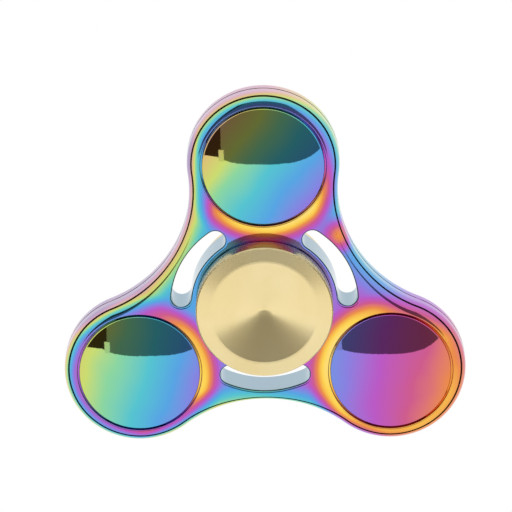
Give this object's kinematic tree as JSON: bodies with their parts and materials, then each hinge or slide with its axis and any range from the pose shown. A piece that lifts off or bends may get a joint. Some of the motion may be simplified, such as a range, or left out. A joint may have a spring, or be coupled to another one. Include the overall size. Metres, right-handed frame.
{
  "type": "fidget spinner",
  "caption": "Three-lobed metal fidget spinner with domed round weights, curved slots round a ball-bearing hub and dished brass finger caps.",
  "frame": {"origin": "centre of the ball bearing, on the spin axis and half way through the body's thickness", "axes": "+Z along the spin axis towards the front cap; +Y from the centre towards one lobe's weight; +X to the right seen from the front cap with that lobe at the top"},
  "size_m": [0.0648, 0.0593, 0.0136],
  "materials": {
    "rainbow_metal": "mirror-polished with an oil-slick rainbow plating",
    "rainbow_metal_dark": "mirror-polished with an oil-slick rainbow plating, as a separate pressed-in slug",
    "brass": "turned and polished",
    "bearing_steel": "ground",
    "ball_steel": "polished",
    "cage_steel": "pressed strip, satin",
    "shield_steel": "thin sheet, satin",
    "spring_steel": "drawn wire, dark satin"
  },
  "bodies": {
    "hub": {"front_cap": "brass", "rear_cap": "brass", "bearing_inner_ring": "bearing_steel"},
    "rotor": {"body": "rainbow_metal", "weight_1": "rainbow_metal_dark", "weight_2": "rainbow_metal_dark", "weight_3": "rainbow_metal_dark", "bearing_outer_ring": "bearing_steel", "front_shield": "shield_steel", "rear_shield": "shield_steel", "front_snap_ring": "spring_steel", "rear_snap_ring": "spring_steel"},
    "cage": {"ball_cage": "cage_steel"},
    "ball_01": {"ball_01": "ball_steel"},
    "ball_02": {"ball_02": "ball_steel"},
    "ball_03": {"ball_03": "ball_steel"},
    "ball_04": {"ball_04": "ball_steel"},
    "ball_05": {"ball_05": "ball_steel"},
    "ball_06": {"ball_06": "ball_steel"},
    "ball_07": {"ball_07": "ball_steel"},
    "ball_08": {"ball_08": "ball_steel"},
    "ball_09": {"ball_09": "ball_steel"},
    "ball_10": {"ball_10": "ball_steel"}
  },
  "joints": [
    {"name": "rotor_spin", "type": "hinge", "parent": "hub", "child": "rotor", "pos_m": [0, 0, 0], "axis": [0, 0, 1], "continuous": true},
    {"name": "cage_orbit", "type": "hinge", "parent": "hub", "child": "cage", "pos_m": [0, 0, 0], "axis": [0, 0, 1], "continuous": true},
    {"name": "ball_01_roll", "type": "hinge", "parent": "cage", "child": "ball_01", "pos_m": [0.00476, 0, 0], "axis": [0, 0, 1], "continuous": true},
    {"name": "ball_02_roll", "type": "hinge", "parent": "cage", "child": "ball_02", "pos_m": [0.00385, 0.0028, 0], "axis": [0, 0, 1], "continuous": true},
    {"name": "ball_03_roll", "type": "hinge", "parent": "cage", "child": "ball_03", "pos_m": [0.00147, 0.00453, 0], "axis": [0, 0, 1], "continuous": true},
    {"name": "ball_04_roll", "type": "hinge", "parent": "cage", "child": "ball_04", "pos_m": [-0.00147, 0.00453, 0], "axis": [0, 0, 1], "continuous": true},
    {"name": "ball_05_roll", "type": "hinge", "parent": "cage", "child": "ball_05", "pos_m": [-0.00385, 0.0028, 0], "axis": [0, 0, 1], "continuous": true},
    {"name": "ball_06_roll", "type": "hinge", "parent": "cage", "child": "ball_06", "pos_m": [-0.00476, 0, 0], "axis": [0, 0, 1], "continuous": true},
    {"name": "ball_07_roll", "type": "hinge", "parent": "cage", "child": "ball_07", "pos_m": [-0.00385, -0.0028, 0], "axis": [0, 0, 1], "continuous": true},
    {"name": "ball_08_roll", "type": "hinge", "parent": "cage", "child": "ball_08", "pos_m": [-0.00147, -0.00453, 0], "axis": [0, 0, 1], "continuous": true},
    {"name": "ball_09_roll", "type": "hinge", "parent": "cage", "child": "ball_09", "pos_m": [0.00147, -0.00453, 0], "axis": [0, 0, 1], "continuous": true},
    {"name": "ball_10_roll", "type": "hinge", "parent": "cage", "child": "ball_10", "pos_m": [0.00385, -0.0028, 0], "axis": [0, 0, 1], "continuous": true}
  ],
  "couplings": [
    {"joint": "cage_orbit", "follows": "rotor_spin", "ratio": 0.58336},
    {"joint": "ball_01_roll", "follows": "rotor_spin", "ratio": 2.9157},
    {"joint": "ball_02_roll", "follows": "rotor_spin", "ratio": 2.9157},
    {"joint": "ball_03_roll", "follows": "rotor_spin", "ratio": 2.9157},
    {"joint": "ball_04_roll", "follows": "rotor_spin", "ratio": 2.9157},
    {"joint": "ball_05_roll", "follows": "rotor_spin", "ratio": 2.9157},
    {"joint": "ball_06_roll", "follows": "rotor_spin", "ratio": 2.9157},
    {"joint": "ball_07_roll", "follows": "rotor_spin", "ratio": 2.9157},
    {"joint": "ball_08_roll", "follows": "rotor_spin", "ratio": 2.9157},
    {"joint": "ball_09_roll", "follows": "rotor_spin", "ratio": 2.9157},
    {"joint": "ball_10_roll", "follows": "rotor_spin", "ratio": 2.9157}
  ]
}
